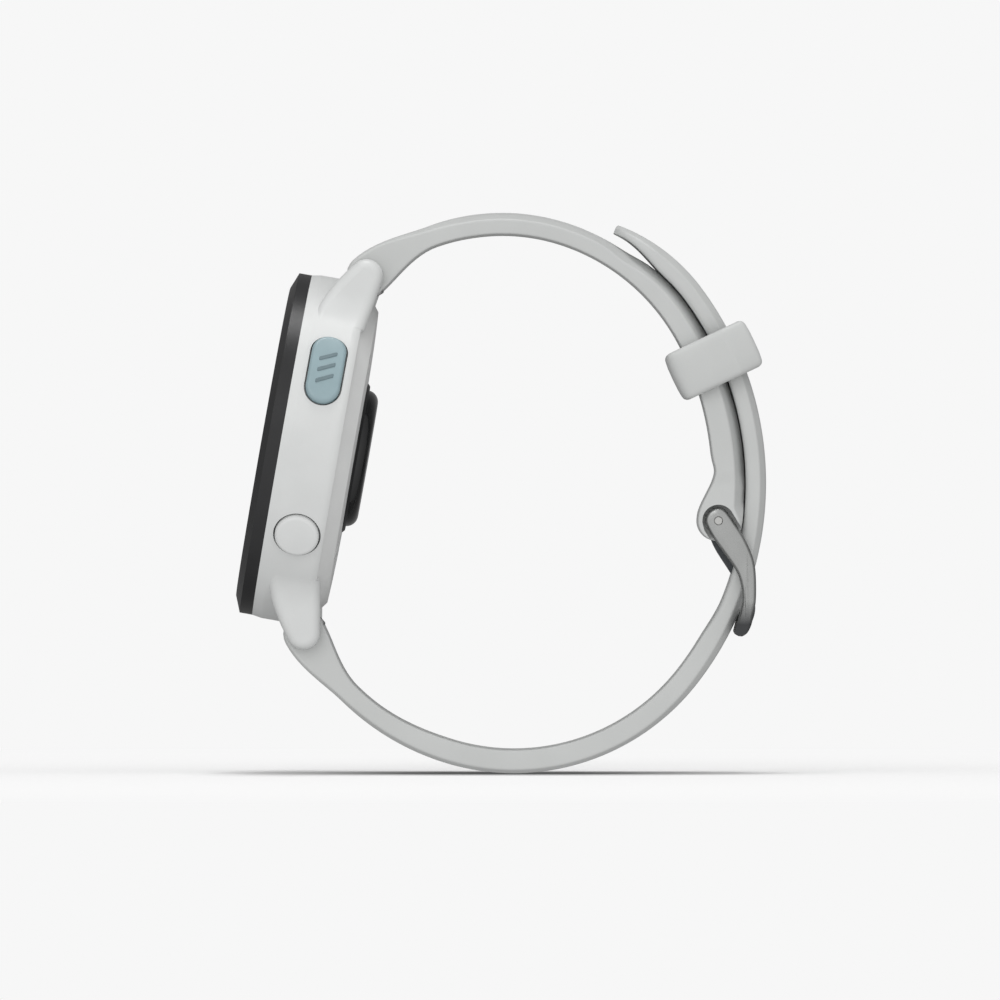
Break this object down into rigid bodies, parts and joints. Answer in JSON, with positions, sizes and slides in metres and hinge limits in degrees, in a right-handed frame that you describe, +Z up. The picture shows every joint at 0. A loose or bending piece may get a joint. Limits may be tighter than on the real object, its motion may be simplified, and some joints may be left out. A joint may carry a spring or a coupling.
{
  "type": "gps running watch",
  "caption": "Running watch with a round case, side buttons, a wrist sensor on its back and a silicone strap closed by a tang buckle and a keeper loop.",
  "frame": {"origin": "on the surface the strap rests on, under the middle of the buckled watch's box", "axes": "+Z up from the surface the strap rests on, +X from the display towards the strap's far side, +Y through the wrist opening towards the nine o'clock side"},
  "size_m": [0.0661, 0.044, 0.0699],
  "materials": {
    "case_plastic": "fine matte",
    "bezel_plastic": "satin black",
    "cover_glass": "polished",
    "display": "gloss",
    "silicone": "soft matte silicone",
    "run_cap": "satin",
    "button_cap": "satin",
    "steel": "satin",
    "sensor_glass": "polished black",
    "sensor_trim": "dark gloss",
    "port_plastic": "black",
    "contact_gold": "gold plated",
    "board": "solder mask",
    "battery_foil": "foil",
    "antenna_copper": "copper foil",
    "motor_metal": "satin",
    "seal_rubber": "soft"
  },
  "bodies": {
    "watch": {"bezel": "bezel_plastic", "cover_glass": "cover_glass", "glass_adhesive": "seal_rubber", "display_module": "display", "bezel_seal": "seal_rubber", "case_middle": "case_plastic", "button_seals": "seal_rubber", "button_springs": "steel", "button_switches": "board", "main_board": "board", "battery": "battery_foil", "gps_antenna": "antenna_copper", "vibration_motor_can": "motor_metal", "beeper_disc": "motor_metal", "back_cover": "case_plastic", "back_cover_seal": "seal_rubber", "back_cover_screws": "steel", "sensor_ring": "sensor_trim", "sensor_lens": "sensor_glass", "sensor_board": "board", "charging_port": "port_plastic", "charging_contacts": "contact_gold", "upper_strap": "silicone", "lower_strap": "silicone", "spring_bar_springs": "steel", "upper_spring_bar": "steel", "lower_spring_bar": "steel", "buckle_pin": "steel"},
    "motor_rotor": {"vibration_motor_weight": "motor_metal"},
    "buckle": {"buckle_frame": "steel"},
    "tongue": {"buckle_tongue": "steel"},
    "keeper": {"keeper_loop": "silicone"},
    "upper_release": {"upper_quick_release": "steel"},
    "lower_release": {"lower_quick_release": "steel"},
    "run_button_body": {"run_button": "run_cap", "run_button_clip": "steel"},
    "back_button_body": {"back_button": "button_cap", "back_button_clip": "steel"},
    "light_button_body": {"light_button": "button_cap", "light_button_clip": "steel"},
    "up_button_body": {"up_button": "button_cap", "up_button_clip": "steel"},
    "down_button_body": {"down_button": "button_cap", "down_button_clip": "steel"}
  },
  "joints": [
    {"name": "run_button_press", "type": "slide", "parent": "watch", "child": "run_button_body", "axis": [-0.0815, 0.8829, -0.4623], "range_m": [0, 0.0006], "stiffness_N_per_m": 3000, "springref_m": -0.0003},
    {"name": "back_button_press", "type": "slide", "parent": "watch", "child": "back_button_body", "axis": [0.0855, 0.8704, 0.4849], "range_m": [0, 0.0006], "stiffness_N_per_m": 3000, "springref_m": -0.0003},
    {"name": "light_button_press", "type": "slide", "parent": "watch", "child": "light_button_body", "axis": [-0.0868, -0.866, -0.4924], "range_m": [0, 0.0006], "stiffness_N_per_m": 3000, "springref_m": -0.0003},
    {"name": "up_button_press", "type": "slide", "parent": "watch", "child": "up_button_body", "axis": [0, -1, 0], "range_m": [0, 0.0006], "stiffness_N_per_m": 3000, "springref_m": -0.0003},
    {"name": "down_button_press", "type": "slide", "parent": "watch", "child": "down_button_body", "axis": [0.0868, -0.866, 0.4924], "range_m": [0, 0.0006], "stiffness_N_per_m": 3000, "springref_m": -0.0003},
    {"name": "upper_release_slide", "type": "slide", "parent": "watch", "child": "upper_release", "axis": [0, 1, 0], "range_m": [0, 0.0013], "stiffness_N_per_m": 800, "springref_m": -0.001},
    {"name": "lower_release_slide", "type": "slide", "parent": "watch", "child": "lower_release", "axis": [0, 1, 0], "range_m": [0, 0.0013], "stiffness_N_per_m": 800, "springref_m": -0.001},
    {"name": "buckle_pivot", "type": "hinge", "parent": "watch", "child": "buckle", "pos_m": [0.02684, 0, 0.03152], "axis": [0, -1, 0], "range_deg": [0, 5]},
    {"name": "tongue_pivot", "type": "hinge", "parent": "watch", "child": "tongue", "pos_m": [0.02684, 0, 0.03152], "axis": [0, -1, 0], "range_deg": [0, 5]},
    {"name": "keeper_slide", "type": "hinge", "parent": "watch", "child": "keeper", "pos_m": [-0.0024, 0, 0.03797], "axis": [0, 1, 0], "range_deg": [-4, 4]},
    {"name": "motor_spin", "type": "hinge", "parent": "watch", "child": "motor_rotor", "pos_m": [-0.0242, 0.0036, 0.02961], "axis": [0.9848, 0, -0.1736], "continuous": true}
  ],
  "couplings": [
    {"joint": "tongue_pivot", "follows": "buckle_pivot", "ratio": 1}
  ]
}
